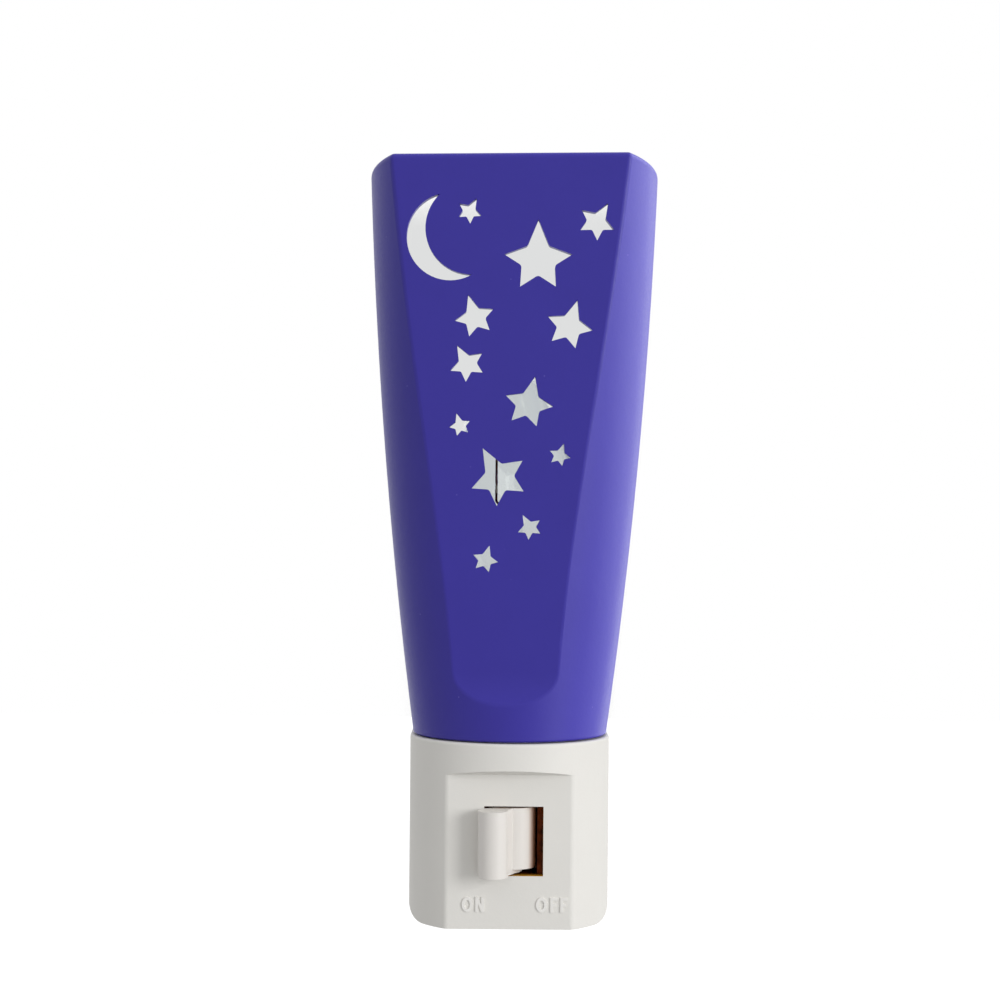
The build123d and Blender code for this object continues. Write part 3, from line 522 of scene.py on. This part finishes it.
world = bpy.data.worlds.new("pale_room")
bpy.context.scene.world = world
world.use_nodes = True
sky = world.node_tree
sky.nodes.clear()
room = add(sky, "ShaderNodeBackground", None, {"Color": WHITE, "Strength": ROOM_LIGHT})
ground = add(sky, "ShaderNodeBackground", None, {"Color": WHITE, "Strength": 1.0})
either = add(sky, "ShaderNodeMixShader", None,
             {0: seen_by(sky, LOOKING_RAYS), 1: room.outputs[0], 2: ground.outputs[0]})
add(sky, "ShaderNodeOutputWorld", None, {"Surface": either.outputs[0]})
print("room lights the object at", ROOM_LIGHT, "of white")

# %% Floor
FLOOR_DROP = 300.0 * MM
FLOOR_HALF = 6.0
FLOOR_LIFT = 0.85
floor_finish, tree, _ = new_finish("pale_floor_paper")
paper = add(tree, "ShaderNodeBsdfDiffuse", None, {"Color": linear("#B4B4B4")})
lift = add(tree, "ShaderNodeMath", {"operation": "MULTIPLY"},
           {0: seen_by(tree, LOOKING_RAYS), 1: FLOOR_LIFT})
lifted = add(tree, "ShaderNodeEmission", None, {"Color": WHITE, "Strength": lift.outputs[0]})
close_finish(tree, add(tree, "ShaderNodeAddShader", None, {0: paper.outputs[0], 1: lifted.outputs[0]}))

shape = bmesh.new()
bmesh.ops.create_grid(shape, x_segments=1, y_segments=1, size=FLOOR_HALF)
bmesh.ops.translate(shape, verts=shape.verts, vec=(0.0, 0.0, cad_low.z - FLOOR_DROP))
floor = finished("pale_floor", shape, floor_finish)
print("floor lies", round(FLOOR_DROP / MM), "mm below the light")

# %% [markdown]
# ## Backdrop
#
# The ground of the photograph is white, and a little grey only where it is seen through the moon and
# the stars, because there the shade keeps the light off it. A large sheet, where the wall would be,
# stands for that ground. An Ambient Occlusion node measures how much of its surroundings each point
# of the sheet sees: open paper comes out white, and paper that the shade covers comes out grey. It is
# reckoned only near the light, to save time. The sheet adds no light. It has no back and ends above
# the plug's blades, so that the light can be looked at from behind and the blades stay in view.

# %% Backdrop paper
SHADOW_REACH = 80.0 * MM
SHADOW_SIDE = 50.0 * MM      # to either side of the light
SHADOW_SAMPLES = 24
COVERED, OPEN = 0.46, 0.50   # open share of the surroundings that turns the paper grey, and white
sheet_finish, tree, place = new_finish("white_backdrop_paper")
occlusion = add(tree, "ShaderNodeAmbientOcclusion", {"samples": SHADOW_SAMPLES},
                {"Distance": SHADOW_REACH})
openness = add(tree, "ShaderNodeMapRange", None,
               {"Value": occlusion.outputs["AO"], "From Min": COVERED, "From Max": OPEN})
shaded = add(tree, "ShaderNodeMix", {"data_type": "RGBA"},
             {0: openness.outputs[0], 6: linear("#DEDFDF"), 7: WHITE})
near_paper = add(tree, "ShaderNodeEmission", None, {"Color": shaded.outputs[2], "Strength": 1.0})
far_paper = add(tree, "ShaderNodeEmission", None, {"Color": WHITE, "Strength": 1.0})
axes = add(tree, "ShaderNodeSeparateXYZ", None, {0: place})
aside = add(tree, "ShaderNodeMath", {"operation": "ABSOLUTE"}, {0: axes.outputs["X"]})
near = add(tree, "ShaderNodeMath", {"operation": "LESS_THAN"}, {0: aside.outputs[0], 1: SHADOW_SIDE})
paper = add(tree, "ShaderNodeMixShader", None,
            {0: near.outputs[0], 1: far_paper.outputs[0], 2: near_paper.outputs[0]})
front = add(tree, "ShaderNodeMath", {"operation": "SUBTRACT"},
            {0: 1.0, 1: add(tree, "ShaderNodeNewGeometry").outputs["Backfacing"]})
shown = add(tree, "ShaderNodeMath", {"operation": "MULTIPLY"},
            {0: seen_by(tree, ("Is Camera Ray", "Is Transmission Ray")), 1: front.outputs[0]})
clear = add(tree, "ShaderNodeBsdfTransparent")
close_finish(tree, add(tree, "ShaderNodeMixShader", None,
                       {0: shown.outputs[0], 1: clear.outputs[0], 2: paper.outputs[0]}))
print("backdrop paper turns grey under", OPEN, "open")

# %% Backdrop sheet
SHEET_HALF = 3.0
SHEET_BEHIND, SHEET_FOOT = 0.5 * MM, 15.0 * MM
shape = bmesh.new()
bmesh.ops.create_grid(shape, x_segments=1, y_segments=1, size=SHEET_HALF)
bmesh.ops.rotate(shape, verts=shape.verts, matrix=Matrix.Rotation(math.radians(90), 3, "X"))
bmesh.ops.translate(shape, verts=shape.verts, vec=(0.0, SHEET_BEHIND, SHEET_FOOT + SHEET_HALF))
sheet = finished("paper_backdrop", shape, sheet_finish)
print("backdrop of", 2 * SHEET_HALF, "m stands", SHEET_BEHIND / MM, "mm behind the wall face")

# %% [markdown]
# ## Lamps
#
# A key softbox to the right of the camera lights the panel and throws the lever's soft shadow to the
# left. Two tall softboxes further round are linked to the shade alone: the strip gives its right
# flank a broad sheen, and the rim draws a brighter line along that flank's edge.

# %% Lamps
def softbox(name, azimuth, elevation, distance, width, height, watts):
    """An area lamp aimed at the middle of the light; azimuth is towards the right of the camera."""
    lamp = bpy.data.lights.new(name, "AREA")
    lamp.shape = "RECTANGLE"
    lamp.size, lamp.size_y, lamp.energy = width, height, watts
    thing = bpy.data.objects.new(name, lamp)
    bpy.context.scene.collection.objects.link(thing)
    a, e = math.radians(azimuth), math.radians(elevation)
    away = Vector((math.sin(a) * math.cos(e), -math.cos(a) * math.cos(e), math.sin(e)))
    middle = (cad_low + cad_high) / 2
    turn = (-away).to_track_quat("-Z", "Y").to_matrix().to_4x4()
    thing.matrix_world = Matrix.Translation(middle + away * distance) @ turn
    return thing


softbox("key_softbox", azimuth=50, elevation=10, distance=1.2, width=0.5, height=0.5, watts=7.1)
strip = softbox("strip_softbox", azimuth=94, elevation=24, distance=0.7, width=0.6, height=1.0, watts=5.6)
rim = softbox("rim_softbox", azimuth=132, elevation=15, distance=0.7, width=0.3, height=1.0, watts=1.6)
shade_only = bpy.data.collections.new("lit_by_strips")
shade_only.objects.link(nodes["shade"])
for lamp in (strip, rim):
    lamp.light_linking.receiver_collection = shade_only
